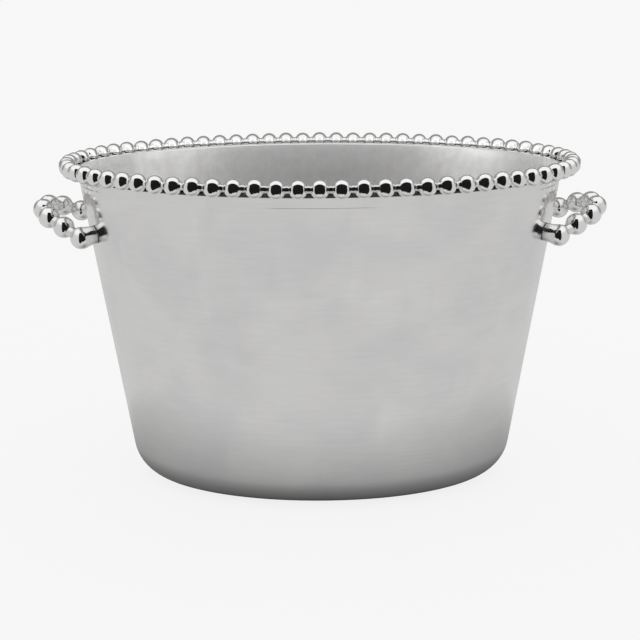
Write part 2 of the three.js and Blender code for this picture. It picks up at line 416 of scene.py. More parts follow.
@dataclass
class Skin:
    """A closed skin drawn over a run of point loops that all have the same number of points."""

    loops: list[Loop] = field(default_factory=list)
    finish_of_band: list[int] = field(default_factory=list)

    def add(self, loop: Loop, finish: int = 0) -> None:
        """Adds the next loop.

        Args:
            loop: its points, all the way round.
            finish: which of the piece's finishes the band after this loop has.
        """
        self.loops.append(loop)
        self.finish_of_band.append(finish)

    def mesh(self, name: str, endless: bool = False) -> bpy.types.Mesh:
        """Stretches the skin.

        Args:
            name: the mesh's name.
            endless: True where the last loop meets the first, False where both ends are shut.

        Returns:
            The mesh, smooth and facing outwards.
        """
        sides = len(self.loops[0])
        points = [point for loop in self.loops for point in loop]
        faces: list[tuple[int, ...]] = []
        finishes: list[int] = []
        rows = len(self.loops)
        for row in range(rows if endless else rows - 1):
            after = (row + 1) % rows
            for i in range(sides):
                j = (i + 1) % sides
                faces.append((row * sides + i, row * sides + j, after * sides + j, after * sides + i))
                finishes.append(self.finish_of_band[row])
        if not endless:
            for row, turned in ((0, True), (rows - 1, False)):
                middle = len(points)
                points.append(sum(self.loops[row], Vector()) / sides)
                for i in range(sides):
                    pair = (row * sides + i, row * sides + (i + 1) % sides)
                    faces.append((*(reversed(pair) if turned else pair), middle))
                    finishes.append(self.finish_of_band[row])
        made = bpy.data.meshes.new(name)
        made.from_pydata(points, [], faces)
        made.polygons.foreach_set("material_index", finishes)
        settle(made)
        return made


def settle(mesh: bpy.types.Mesh, crease: float = 50.0) -> None:
    """Turns a closed mesh's faces outwards and shades it smooth, with creases kept sharp.

    Args:
        mesh: the mesh.
        crease: the least angle between faces, in degrees, that stays sharp.
    """
    mesh.validate()
    volume = 0.0
    mesh.calc_loop_triangles()
    for triangle in mesh.loop_triangles:
        a, b, c = (mesh.vertices[i].co for i in triangle.vertices)
        volume += a.dot(b.cross(c))
    if volume < 0.0:
        mesh.flip_normals()
    mesh.polygons.foreach_set("use_smooth", [True] * len(mesh.polygons))
    mesh.set_sharp_from_angle(angle=math.radians(crease))
    mesh.update()


def piece_of(
    mesh: bpy.types.Mesh, finishes: Sequence[bpy.types.Material], node: str
) -> bpy.types.Object:
    """Makes a shown piece from a mesh, puts it on its body and lets it stand for its node.

    Args:
        mesh: the finished mesh.
        finishes: its materials, in the order of their numbers in the mesh.
        node: the node that the piece replaces.

    Returns:
        The piece.
    """
    piece = bpy.data.objects.new(mesh.name, mesh)
    bpy.context.scene.collection.objects.link(piece)
    for finish in finishes:
        mesh.materials.append(finish)
    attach(piece, ROOT_BODY)
    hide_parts(node)
    log.info("%s: %d faces, stands for %s", piece.name, len(mesh.polygons), node)
    return piece


def cut_away(mesh: bpy.types.Mesh, tools: Sequence[bpy.types.Mesh]) -> bpy.types.Mesh:
    """Cuts closed meshes out of another.

    Args:
        mesh: the mesh to cut.
        tools: what is cut out of it.

    Returns:
        The cut mesh.
    """
    scene = bpy.context.scene.collection.objects
    work = bpy.data.objects.new("work", mesh)
    scene.link(work)
    cutters = [bpy.data.objects.new("cutter", tool) for tool in tools]
    for cutter in cutters:
        scene.link(cutter)
        cut = work.modifiers.new("cut", "BOOLEAN")
        cut.object = cutter
        cut.operation = "DIFFERENCE"
        cut.solver = "EXACT"
    shown = work.evaluated_get(bpy.context.evaluated_depsgraph_get())
    made = bpy.data.meshes.new_from_object(shown)
    made.name = mesh.name
    for spare in (work, *cutters):
        bpy.data.objects.remove(spare)
    settle(made)
    return made


def round_loop(middle: Vector, along: Vector, up: Vector, radius: float, sides: int) -> Loop:
    """A circle of points.

    Args:
        middle: its middle.
        along: the direction square to it.
        up: a direction that isn't along, from which the points are counted.
        radius: its radius.
        sides: how many points.

    Returns:
        The points.
    """
    across = along.cross(up).normalized()
    upward = across.cross(along).normalized()
    points = []
    for i in range(sides):
        turn = 2.0 * math.pi * i / sides
        points.append(middle + radius * (math.cos(turn) * across + math.sin(turn) * upward))
    return points


@dataclass(frozen=True)
class OvalWall:
    """The outer face of the oval wall, which leans outwards, before its bottom edge is rounded."""

    base_half_length: float = 121.8 * MM
    base_half_width: float = 77.5 * MM
    top_half_length: float = 154.3 * MM
    top_half_width: float = 111.8 * MM
    top_height: float = 207.5 * MM
    thickness: float = 4.0 * MM

    def half_sizes(self, height: float) -> Pair:
        """Half length and half width of the oval.

        Args:
            height: how high up the wall it is taken.

        Returns:
            The half length and the half width there.
        """
        share = height / self.top_height
        length = self.base_half_length + (self.top_half_length - self.base_half_length) * share
        width = self.base_half_width + (self.top_half_width - self.base_half_width) * share
        return length, width

    def slope(self) -> float:
        """Lean of the wall from upright, in radians, averaged between the long and the short way."""
        lean = self.top_half_length - self.base_half_length
        lean += self.top_half_width - self.base_half_width
        return math.atan2(lean / 2.0, self.top_height)

    def beyond(self, point: Vector) -> float:
        """How far a point is outside the wall as a share of its size, below zero inside."""
        length, width = self.half_sizes(point.z)
        return math.hypot(point.x / length, point.y / width) - 1.0

    def met_by(
        self, start: Vector, direction: Vector, reach: float = 30.0 * MM, halvings: int = 40
    ) -> float:
        """Distance from a point outside the wall to the wall.

        Args:
            start: a point outside the wall.
            direction: a unit direction towards the wall.
            reach: a distance that surely ends inside the wall.
            halvings: how many times the gap that holds the answer is halved.

        Returns:
            The distance along the direction.
        """
        outside, inside = 0.0, reach
        for _ in range(halvings):
            middle = (outside + inside) / 2.0
            if self.beyond(start + middle * direction) > 0.0:
                outside = middle
            else:
                inside = middle
        return inside


@dataclass(frozen=True)
class LegSeat:
    """Where a handle leg meets the wall, on the outside of the shell."""

    wall: OvalWall
    side: Side
    row: Row
    offset: float = 35.0 * MM
    height: float = 167.6 * MM

    @property
    def name(self) -> str:
        """The seat's part of a piece's name."""
        return f"{self.side.name.lower()}_{self.row.name.lower()}"

    @property
    def point(self) -> Vector:
        """The point on the wall's outer face."""
        length, width = self.wall.half_sizes(self.height)
        y = self.row.value * self.offset
        x = self.side.value * length * math.sqrt(1.0 - (y / width) ** 2)
        return Vector((x, y, self.height))

    @property
    def out(self) -> Vector:
        """The direction square to the wall, outwards."""
        length, width = self.wall.half_sizes(self.height)
        flat = Vector((self.point.x / length**2, self.point.y / width**2, 0.0)).normalized()
        return (flat - math.tan(self.wall.slope()) * UP).normalized()

    def at(self, distance: float) -> Vector:
        """The point on the leg's axis that lies a distance outside the wall's outer face."""
        return self.point + distance * self.out


# ---------------------------------------------------------------------------------------------
# Pieces
# ---------------------------------------------------------------------------------------------


@dataclass
class BucketShell:
    """The one-piece oval shell: flat base, rounded bottom edge, leaning wall, shoulder and lip."""

    wall: OvalWall
    seats: Sequence[LegSeat]
    bottom_round: float = 26.0 * MM
    floor_thickness: float = 5.0 * MM
    bead_radius: float = 5.4 * MM
    bead_seam: float = 0.15 * MM
    bead_setback: float = 0.3 * MM
    shoulder_depth: float = 6.0 * MM
    shoulder_angle: float = 45.0
    shoulder_curve: float = 2.8
    cove_top_angle: float = 18.0
    groove_height: float = 2.6 * MM
    groove_depth: float = 0.19 * MM
    lip_round: float = 1.2 * MM
    lip_crown: float = 0.5
    lip_drop: float = 0.4
    hole_radius: float = 2.85 * MM
    drill_reach: float = 12.0 * MM
    unevenness: float = 0.10 * MM
    unevenness_size: float = 55.0 * MM
    around: int = 288
    disc_shares: tuple[float, ...] = (0.08, 0.2, 0.36, 0.52, 0.68, 0.82, 0.93)
    corner_rows: int = 14
    wall_rows: int = 36
    groove_rows: int = 8
    shoulder_rows: int = 10
    cove_rows: int = 5
    # Rows under the beads that carry painted shade.
    dulled_rows: int = 9
    lip_rows: int = 12
    hole_sides: int = 40

    def ring(self, height: float, inset: float, share: float = 1.0) -> Loop:
        """Points of one oval ring.

        Args:
            height: its height.
            inset: how far it lies inside the wall's outer face.
            share: what it is scaled by towards the middle.

        Returns:
            The points, anticlockwise seen from above.
        """
        length, width = self.wall.half_sizes(height)
        points = []
        for i in range(self.around):
            turn = 2.0 * math.pi * i / self.around
            x = (length - inset) * math.cos(turn)
            y = (width - inset) * math.sin(turn)
            away = Vector((x, y, 0.0)).normalized()
            swell = noise.noise(Vector((x, y, height)) / self.unevenness_size)
            moved = Vector((x, y, 0.0)) + away * swell * self.unevenness
            points.append(moved * share + height * UP)
        return points

    def corner(self, floor: float, radius: float, wall_inset: float) -> list[Pair]:
        """Heights and insets of a rounded corner, from the floor up to the wall.

        Args:
            floor: height of the floor.
            radius: the corner's radius.
            wall_inset: how far the wall above it lies inside the wall's outer face.

        Returns:
            One height and inset for each ring.
        """
        slope = self.wall.slope()
        sweep = math.pi / 2.0 - slope
        run = radius * math.tan(sweep / 2.0)
        rings = []
        for share in spaced(self.corner_rows):
            turn = sweep * share
            height = floor + radius - radius * math.cos(turn)
            inset = run - radius * math.sin(turn) + (height - floor) * math.tan(slope)
            rings.append((height, wall_inset + inset))
        return rings

    def on_bead(self, angle: float) -> Pair:
        """A point that hugs the border beads.

        Args:
            angle: how far below level it is, seen from the middle of a bead, in degrees.

        Returns:
            Its height and inset.
        """
        turn = math.radians(angle)
        radius = self.bead_radius + self.bead_seam
        height = self.wall.top_height - radius * math.sin(turn)
        from_top = self.bead_radius + self.bead_setback - radius * math.cos(turn)
        lean = (self.wall.top_height - height) * math.tan(self.wall.slope())
        return height, -(from_top + lean)

    def outside(self) -> list[Pair]:
        """Heights and insets from the edge of the flat base up to the top of the cove under the beads."""
        rings = self.corner(0.0, self.bottom_round, 0.0)
        shoulder_top, flare = self.on_bead(self.shoulder_angle)
        shoulder_foot = shoulder_top - self.shoulder_depth
        start = rings[-1][0]
        groove_foot = shoulder_foot - self.groove_height
        for share in spaced(self.wall_rows)[1:]:
            rings.append((start + (groove_foot - start) * share, 0.0))
        for share in spaced(self.groove_rows)[1:]:
            depth = self.groove_depth * math.sin(math.pi * share) ** 2
            rings.append((groove_foot + self.groove_height * share, depth))
        for share in spaced(self.shoulder_rows)[1:]:
            height = shoulder_foot + self.shoulder_depth * share
            rings.append((height, flare * share**self.shoulder_curve))
        for share in spaced(self.cove_rows)[1:]:
            angle = self.shoulder_angle + (self.cove_top_angle - self.shoulder_angle) * share
            rings.append(self.on_bead(angle))
        return rings

    def inside(self) -> list[Pair]:
        """Heights and insets over the lip, down the inside and round to the edge of the inner floor."""
        edge_height, edge_inset = self.on_bead(self.cove_top_angle)
        middle = (edge_inset + self.wall.thickness) / 2.0
        half = (self.wall.thickness - edge_inset) / 2.0
        rings = []
        for share in spaced(self.lip_rows)[1:]:
            turn = math.pi * share
            crown = self.lip_crown * math.sin(turn)
            drop = 0.0 if share < 0.5 else self.lip_drop * (1.0 - math.sin(turn))
            height = edge_height + self.lip_round * (crown - drop)
            rings.append((height, middle - half * math.cos(turn)))
        corner = self.corner(
            self.floor_thickness, self.bottom_round - self.wall.thickness, self.wall.thickness
        )
        top, foot = rings[-1][0], corner[-1][0]
        for share in spaced(self.wall_rows)[1:-1]:
            rings.append((top + (foot - top) * share, self.wall.thickness))
        rings.extend(reversed(corner))
        return rings

    def skin(self) -> bpy.types.Mesh:
        """The whole shell before its screw holes are drilled."""
        skin = Skin()
        outside, inside = self.outside(), self.inside()
        for share in self.disc_shares:
            skin.add(self.ring(*outside[0], share), ShellFinish.SATIN.value)
        for number, place in enumerate(outside):
            # The last rows under the beads take the finish with painted shade.
            under_beads = number >= len(outside) - self.dulled_rows
            finish = ShellFinish.DULLED if under_beads else ShellFinish.SATIN
            skin.add(self.ring(*place), finish.value)
        for number, place in enumerate(inside):
            on_lip = number < self.lip_rows - 1
            finish = ShellFinish.SATIN if on_lip else ShellFinish.GRAINY
            skin.add(self.ring(*place), finish.value)
        for share in reversed(self.disc_shares):
            skin.add(self.ring(*inside[-1], share), ShellFinish.GRAINY.value)
        return skin.mesh("cast_shell")

    def drills(self) -> list[bpy.types.Mesh]:
        """The round tools that drill a hole through the wall at each handle leg."""
        tools = []
        for seat in self.seats:
            tool = Skin()
            for distance in (-self.drill_reach, self.wall.thickness):
                middle = seat.at(distance)
                tool.add(round_loop(middle, seat.out, UP, self.hole_radius, self.hole_sides))
            tools.append(tool.mesh("drill"))
        return tools

    def build(self) -> bpy.types.Object:
        """Builds, drills and dresses the shell."""
        mesh = cut_away(self.skin(), self.drills())
        inner = SatinAluminium(
            name="grainy_cast_aluminium",
            tone=(0.95, 0.945, 0.94),
            worn_tone=(0.84, 0.832, 0.828),
            roughness=(0.30, 0.44),
            cloud_size=22 * MM,
            streak_size=4.0 * MM,
            streak_stretch=(0.7, 0.7, 0.5),
            streak_depth=0.12 * MM,
            streak_tone=0.5,
            grain_size=1.4 * MM,
            grain_depth=0.06 * MM,
        )
        # Painted shade: the cove behind and under the beads gets a near-black colour, darker still in its
        # crevices, and a dark edge tint. This paints in the shade and the dark reflections between the
        # beads, and it stays dark from any side.
        cove = MirrorAluminium(
            name="dulled_cove",
            tone=(0.13, 0.128, 0.125),
            painted_crevice_shade=(0.05, 0.05, 0.05),
            edge_tint=(0.06, 0.06, 0.06),
            crevice_reach=4.0 * MM,
            wave_depth=0.0,
        )
        finishes = [SatinAluminium().material(), inner.material(), cove.material()]
        return piece_of(mesh, finishes, "bucket_shell")


@dataclass
class BeadString:
    """Balls strung on necks, with a fillet where each neck meets its ball."""

    middles: list[Vector]
    radii: list[float]
    neck_radius: float
    fillet: float
    up: Vector
    sides: int
    ball_rows: int
    fillet_rows: int = 4

    def tangent(self, radius: float) -> Pair:
        """Where a fillet leaves its ball.

        Args:
            radius: the ball's radius.

        Returns:
            The angle from the neck's axis at the ball's middle, and how far along the axis the middle of
            the fillet's arc lies.
        """
        arc_out = self.neck_radius + self.fillet
        arc_along = math.sqrt((radius + self.fillet) ** 2 - arc_out**2)
        return math.atan2(arc_out, arc_along), arc_along

    def ball(
        self, number: int, before: Vector, after: Vector, start: float, end: float
    ) -> list[Loop]:
        """Rings that cover one ball, their axis turning from one direction to another.

        Args:
            number: which ball.
            before: the direction in which the string comes to the ball.
            after: the direction in which it goes on.
            start: angle at the ball's middle between the first ring and the direction it comes from.
            end: the same for the last ring and the direction it goes to.

        Returns:
            The rings.
        """
        middle, radius = self.middles[number], self.radii[number]
        rings = []
        for share in spaced(self.ball_rows):
            axis = before.slerp(after, share)
            angle = (math.pi - start) * (1.0 - share) + end * share
            centre = middle + radius * math.cos(angle) * axis
            rings.append(round_loop(centre, axis, self.up, radius * math.sin(angle), self.sides))
        return rings

    def neck(self, first: int, second: int) -> list[Loop]:
        """Rings of the neck between two balls, with its fillets.

        Args:
            first: the ball it leaves.
            second: the ball it comes to.

        Returns:
            The rings.
        """
        here, there = self.middles[first], self.middles[second]
        axis = (there - here).normalized()
        span = (there - here).length
        rings: list[Pair] = []
        for number in (first, second):
            angle, arc_along = self.tangent(self.radii[number])
            arc: list[Pair] = []
            for share in spaced(self.fillet_rows)[1:]:
                turn = (math.pi / 2.0 - angle) * (1.0 - share)
                distance = arc_along - self.fillet * math.sin(turn)
                radius = self.neck_radius + self.fillet * (1.0 - math.cos(turn))
                arc.append((distance if number == first else span - distance, radius))
            rings.extend(arc if number == first else reversed(arc))
        return [
            round_loop(here + distance * axis, axis, self.up, radius, self.sides)
            for distance, radius in rings
        ]

    def heading(self, first: int, second: int) -> Vector:
        """The direction from one ball to another."""
        return (self.middles[second] - self.middles[first]).normalized()


@dataclass
class BeadedBorder:
    """The closed string of beads round the lip, its sizes taken from its node's box."""

    low: Vector
    high: Vector
    beads: int = 72
    neck_share: float = 0.392
    fillet: float = 0.8 * MM
    size_spread: float = 0.012
    place_spread: float = 0.10 * MM
    path_steps: int = 3600
    sides: int = 30
    ball_rows: int = 18
    seed: int = 7

    @property
    def bead_radius(self) -> float:
        """Radius of a bead."""
        return (self.high.z - self.low.z) / 2.0

    @property
    def half_length(self) -> float:
        """Half length of the oval through the bead middles."""
        return (self.high.x - self.low.x) / 2.0 - self.bead_radius

    @property
    def half_width(self) -> float:
        """Half width of the oval through the bead middles."""
        return (self.high.y - self.low.y) / 2.0 - self.bead_radius

    def on_oval(self, turn: float) -> Vector:
        """The point on the oval at a turn from the middle of the front."""
        height = (self.high.z + self.low.z) / 2.0
        return Vector((self.half_length * math.sin(turn), -self.half_width * math.cos(turn), height))

    def middles(self) -> list[Vector]:
        """Bead middles, the same distance apart all the way round, each a little off by hand."""
        points = [self.on_oval(2.0 * math.pi * share) for share in spaced(self.path_steps)]
        travelled = [0.0]
        for here, there in zip(points, points[1:]):
            travelled.append(travelled[-1] + (there - here).length)
        pitch = travelled[-1] / self.beads
        rng = random.Random(self.seed)
        found = []
        step = 0
        for bead in range(self.beads):
            while travelled[step + 1] < pitch * bead:
                step += 1
            part = (pitch * bead - travelled[step]) / (travelled[step + 1] - travelled[step])
            slip = Vector((rng.gauss(0, 1), rng.gauss(0, 1), rng.gauss(0, 1))) * self.place_spread
            found.append(points[step].lerp(points[step + 1], part) + slip)
        return found

    def build(self) -> bpy.types.Object:
        """Builds and dresses the border."""
        rng = random.Random(self.seed + 1)
        radii = [self.bead_radius * (1.0 + rng.gauss(0, self.size_spread)) for _ in range(self.beads)]
        neck_radius = self.bead_radius * self.neck_share
        string = BeadString(
            self.middles(), radii, neck_radius, self.fillet, UP, self.sides, self.ball_rows
        )
        skin = Skin()
        for bead in range(self.beads):
            before, after = (bead - 1) % self.beads, (bead + 1) % self.beads
            arrival, departure = string.heading(before, bead), string.heading(bead, after)
            angle, _ = string.tangent(radii[bead])
            rings = string.ball(bead, arrival, departure, angle, angle)
            for loop in rings + string.neck(bead, after):
                skin.add(loop)
        mesh = skin.mesh("border_beads", endless=True)
        # Painted shade darkens the necks between the beads and the places where they sit on the shell.
        finish = MirrorAluminium(name="mirror_border")
        return piece_of(mesh, [finish.material()], "beaded_border")


@dataclass
class LoopHandle:
    """A cast handle: a loop of beads that runs out from one leg and back to the other."""

    wall: OvalWall
    seats: tuple[LegSeat, LegSeat]
    bead_radius: float = 6.7 * MM
    neck_radius: float = 3.5 * MM
    fillet: float = 1.3 * MM
    leg_length: float = 9.0 * MM
    leg_radius: float = 5.7 * MM
    leg_spring_angle: float = 74.0
    seam: float = 0.08 * MM
    edge_round: float = 0.35 * MM
    edge_shares: Pair = (0.35, 0.7)
    bore_radius: float = 2.85 * MM
    bore_depth: float = 7.45 * MM
    bore_tip: float = 0.6 * MM
    bore_tip_radius: float = 0.285 * MM
    reach: float = 29.0 * MM
    half_span: float = 32.0 * MM
    half_depth: float = 25.8 * MM
    rise: float = 24.2
    loop_beads: int = 6
    size_spread: float = 0.010
    sides: int = 44
    ball_rows: int = 24
    fillet_rows: int = 5
    leg_rows: int = 9
    seed: int = 3

    @property
    def side(self) -> Side:
        """The end of the bucket that the handle is on."""
        return self.seats[0].side

    def middles(self) -> list[Vector]:
        """Bead middles from the front leg round to the back leg."""
        front, back = (seat.at(self.leg_length) for seat in self.seats)
        rise = math.radians(self.rise)
        end_x = self.wall.half_sizes(self.seats[0].height)[0] + self.reach
        centre_x = end_x - self.half_depth * math.cos(rise)
        centre_z = front.z + (centre_x - abs(front.x)) * math.tan(rise)
        found = [front]
        for bead in range(self.loop_beads):
            turn = math.pi * (bead + 0.5) / self.loop_beads
            out = self.half_depth * math.sin(turn)
            x = self.side.value * (centre_x + out * math.cos(rise))
            y = -self.half_span * math.cos(turn)
            found.append(Vector((x, y, centre_z + out * math.sin(rise))))
        found.append(back)
        return found

    def leg(self, seat: LegSeat, middle: Vector, string: BeadString, radius: float) -> list[Loop]:
        """Rings of one leg, from the blind end of its screw hole round its foot and up to its bead.

        Args:
            seat: where the leg meets the wall.
            middle: the middle of its bead.
            string: the handle's string, for its direction of counting.
            radius: the bead's radius.

        Returns:
            The rings, the last of them on the bead.
        """
        along = (middle - seat.point).normalized()
        spring = math.radians(self.leg_spring_angle)
        start = radius * math.cos(spring)
        spring_radius = radius * math.sin(spring)
        spring_slope = -1.0 / math.tan(spring)

        def on_wall(loop: Loop, lift: float) -> Loop:
            """A loop pushed down onto the wall, a little clear of it."""
            return [point - (self.wall.met_by(point, -along) - lift) * along for point in loop]

        def circle(distance: float, size: float) -> Loop:
            """A circle about the leg's axis, a distance from the bead's middle towards the wall."""
            return round_loop(middle - distance * along, along, string.up, size, self.sides)

        bore_end = (middle - seat.point).length - self.bore_depth
        edge = on_wall(circle(start, self.leg_radius), self.seam + self.edge_round)
        rings = [
            circle(bore_end, self.bore_tip_radius),
            circle(bore_end + self.bore_tip, self.bore_radius),
            on_wall(circle(start, self.bore_radius), self.seam),
            on_wall(circle(start, self.leg_radius - self.edge_round), self.seam),
        ]
        for share in self.edge_shares:
            turn = share * math.pi / 2.0
            size = self.leg_radius - self.edge_round * (1.0 - math.sin(turn))
            lift = self.seam + self.edge_round * (1.0 - math.cos(turn))
            rings.append(on_wall(circle(start, size), lift))
        spring_ring = circle(start, spring_radius)
        for share in spaced(self.leg_rows)[:-1]:
            ring = []
            for low, high in zip(edge, spring_ring):
                span = (middle - low).dot(along) - start
                distance = start + span * (1.0 - share)
                size = self.leg_profile(share, span, spring_radius, spring_slope)
                outward = high - (middle - start * along)
                ring.append(middle - distance * along + outward.normalized() * size)
            rings.append(ring)
        return rings

    def leg_profile(self, share: float, span: float, top: float, slope: float) -> float:
        """Radius of the leg.

        Args:
            share: 0 at the wall, 1 where the leg springs from its bead.
            span: the distance between the two.
            top: the radius at the bead.
            slope: how fast the radius shrinks away from the bead.

        Returns:
            The radius, on a curve that leaves the bead without a crease.
        """
        blend = eased(share, 0.0, 1.0)
        straight = self.leg_radius * (1.0 - blend) + top * blend
        return straight - slope * span * (share**3 - share**2)

    def build(self) -> bpy.types.Object:
        """Builds and dresses the handle."""
        rng = random.Random(self.seed + self.side.value)
        middles = self.middles()
        radii = [self.bead_radius * (1.0 + rng.gauss(0, self.size_spread)) for _ in middles]
        rise = math.radians(self.rise)
        up = Vector((-self.side.value * math.sin(rise), 0.0, math.cos(rise)))
        string = BeadString(
            middles=middles,
            radii=radii,
            neck_radius=self.neck_radius,
            fillet=self.fillet,
            up=up,
            sides=self.sides,
            ball_rows=self.ball_rows,
            fillet_rows=self.fillet_rows,
        )
        spring = math.radians(self.leg_spring_angle)
        last = len(middles) - 1
        front_out = (middles[0] - self.seats[0].point).normalized()
        back_in = (self.seats[1].point - middles[last]).normalized()
        loops = self.leg(self.seats[0], middles[0], string, radii[0])
        for bead in range(len(middles)):
            before = front_out if bead == 0 else string.heading(bead - 1, bead)
            after = back_in if bead == last else string.heading(bead, bead + 1)
            angle, _ = string.tangent(radii[bead])
            start = spring if bead == 0 else angle
            end = spring if bead == last else angle
            loops += string.ball(bead, before, after, start, end)
            if bead < last:
                loops += string.neck(bead, bead + 1)
        loops += reversed(self.mirrored_leg(string, middles[last], radii[last]))
        skin = Skin()
        for loop in loops:
            skin.add(loop)
        name = self.side.name.lower()
        mesh = skin.mesh(f"loop_handle_{name}")
        # Painted shade: the crevices between the handle's beads and at its legs are darkened further,
        # over a wider reach.
        finish = MirrorAluminium(
            name=f"mirror_handle_{name}", painted_crevice_shade=(0.12, 0.118, 0.115), crevice_reach=5.0 * MM
        )
        return piece_of(mesh, [finish.material()], f"handle_{name}")

    def mirrored_leg(self, string: BeadString, middle: Vector, radius: float) -> list[Loop]:
        """Rings of the back leg, counted the same way round as the rest of the string.

        Args:
            string: the handle's string.
            middle: the middle of the leg's bead.
            radius: the bead's radius.

        Returns:
            The rings, the last of them on the bead.
        """
        rings = self.leg(self.seats[1], middle, string, radius)
        half = self.sides // 2
        return [[ring[(half - i) % self.sides] for i in range(self.sides)] for ring in rings]


@dataclass
class HandleScrew:
    """A slotted screw put in from inside the bucket, with its thread in the handle leg."""

    seat: LegSeat
    seat_depth: float = 5.9 * MM
    grip: float = 13.0 * MM
    radius: float = 2.5 * MM
    head_radius: float = 4.5 * MM
    head_height: float = 3.0 * MM
    head_edge: float = 0.25 * MM
    crown_share: float = 0.68
    thread_pitch: float = 0.8 * MM
    thread_depth: float = 0.42 * MM
    thread_start: float = 4.5 * MM
    thread_crest: float = 0.2
    tip_length: float = 1.2 * MM
    tip_taper: float = 0.9 * MM
    slot_width: float = 1.2 * MM
    slot_depth: float = 1.1 * MM
    slot_turn: float = 0.6
    slot_overshoot: float = 1.3
    cutter_height: float = 3.0 * MM
    sides: int = 48
    crown_rows: int = 12
    thread_rows_per_turn: int = 8

    def loop(self, distance: float, radius_at: Callable[[float], float]) -> Loop:
        """A ring about the screw's axis.

        Args:
            distance: how far it is outwards from the underside of the head.
            radius_at: the radius for a share of a turn.

        Returns:
            The points.
        """
        middle = self.seat.at(distance - self.seat_depth)
        circle = round_loop(middle, self.seat.out, UP, 1.0, self.sides)
        return [
            middle + (point - middle) * radius_at(number / self.sides)
            for number, point in enumerate(circle)
        ]

    def thread_radius(self, distance: float, turn: float) -> float:
        """Radius of the threaded shank.

        Args:
            distance: how far it is from the underside of the head.
            turn: the share of a turn round the shank.

        Returns:
            The radius there.
        """
        phase = (distance / self.thread_pitch - turn) % 1.0
        ridge = 1.0 - abs(2.0 * phase - 1.0)
        cut = self.thread_depth * (1.0 - min(1.0, ridge / (1.0 - self.thread_crest)))
        fade = eased(distance, self.thread_start - self.thread_pitch, self.thread_start)
        lead = self.tip_taper * eased(distance, self.grip - self.tip_length, self.grip)
        return self.radius - cut * fade - lead

    def head_profile(self) -> list[Pair]:
        """Distances and radii of the head, from the middle of its crown to its underside."""
        profile = []
        for share in spaced(self.crown_rows)[1:]:
            turn = share * math.pi / 2.0
            rise = 1.0 - self.crown_share * (1.0 - math.cos(turn))
            profile.append((-self.head_height * rise, self.head_radius * math.sin(turn)))
        bevel = 0.3 * self.head_edge
        profile.append((-self.head_edge, self.head_radius))
        profile.append((-bevel, self.head_radius - bevel))
        profile.append((0.0, self.head_radius - self.head_edge))
        profile.append((0.0, self.radius))
        return profile

    def body(self) -> bpy.types.Mesh:
        """The turned screw, before its slot is cut."""
        skin = Skin()
        for distance, radius in self.head_profile():
            skin.add(self.loop(distance, lambda turn, fixed=radius: fixed))
        rows = int(self.grip / self.thread_pitch * self.thread_rows_per_turn)
        for share in spaced(rows)[1:]:
            distance = self.grip * share
            skin.add(self.loop(distance, lambda turn, d=distance: self.thread_radius(d, turn)))
        return skin.mesh(f"slotted_screw_{self.seat.name}")

    def slot_tool(self) -> bpy.types.Mesh:
        """The flat cutter that makes the slot across the head."""
        out = self.seat.out
        level = out.cross(UP).normalized()
        upright = out.cross(level)
        across = math.cos(self.slot_turn) * level + math.sin(self.slot_turn) * upright
        thick = out.cross(across)
        bottom = self.seat.at(-self.seat_depth - self.head_height + self.slot_depth)
        tool = Skin()
        for end in (-1.0, 1.0):
            middle = bottom + across * end * self.head_radius * self.slot_overshoot
            loop = []
            for sideways, lift in ((-1, 0), (1, 0), (1, 1), (-1, 1)):
                edge = thick * sideways * self.slot_width / 2.0
                loop.append(middle + edge - out * lift * self.cutter_height)
            tool.add(loop)
        return tool.mesh("slot_cutter")

    def build(self) -> bpy.types.Object:
        """Builds, slots and dresses the screw."""
        mesh = cut_away(self.body(), [self.slot_tool()])
        finish = TurnedSteel(name=f"turned_screw_{self.seat.name}")
        node = f"handle_screw_{self.seat.name}"
        return piece_of(mesh, [finish.material()], node)


@dataclass
class HandleWasher:
    """A plain washer between a screw head and the inside of the wall, its edges rounded."""

    seat: LegSeat
    outer_radius: float = 5.75 * MM
    inner_radius: float = 2.85 * MM
    thickness: float = 1.0 * MM
    outer_face: float = 4.6 * MM
    edge: float = 0.2 * MM
    edge_rows: int = 4
    sides: int = 64

    def build(self) -> bpy.types.Object:
        """Builds and dresses the washer."""
        outline = []
        half = self.thickness / 2.0
        corners = (
            (self.outer_radius, half, 0.0),
            (self.outer_radius, -half, -0.5),
            (self.inner_radius, -half, -1.0),
            (self.inner_radius, half, -1.5),
        )
        for radius, distance, start in corners:
            inward = -1.0 if radius == self.outer_radius else 1.0
            centre_radius = radius + inward * self.edge
            centre_distance = distance - math.copysign(self.edge, distance)
            for share in spaced(self.edge_rows):
                turn = math.pi * (0.5 + start - 0.5 * share)
                along = centre_distance + self.edge * math.sin(turn)
                outline.append((along, centre_radius + self.edge * math.cos(turn)))
        skin = Skin()
        for along, radius in outline:
            middle = self.seat.at(along - self.outer_face - half)
            skin.add(round_loop(middle, self.seat.out, UP, radius, self.sides))
        finish = TurnedSteel(name=f"turned_washer_{self.seat.name}", roughness=(0.26, 0.42))
        node = f"handle_washer_{self.seat.name}"
        mesh = skin.mesh(f"plain_washer_{self.seat.name}", endless=True)
        return piece_of(mesh, [finish.material()], node)


# ---------------------------------------------------------------------------------------------
# Studio
# ---------------------------------------------------------------------------------------------


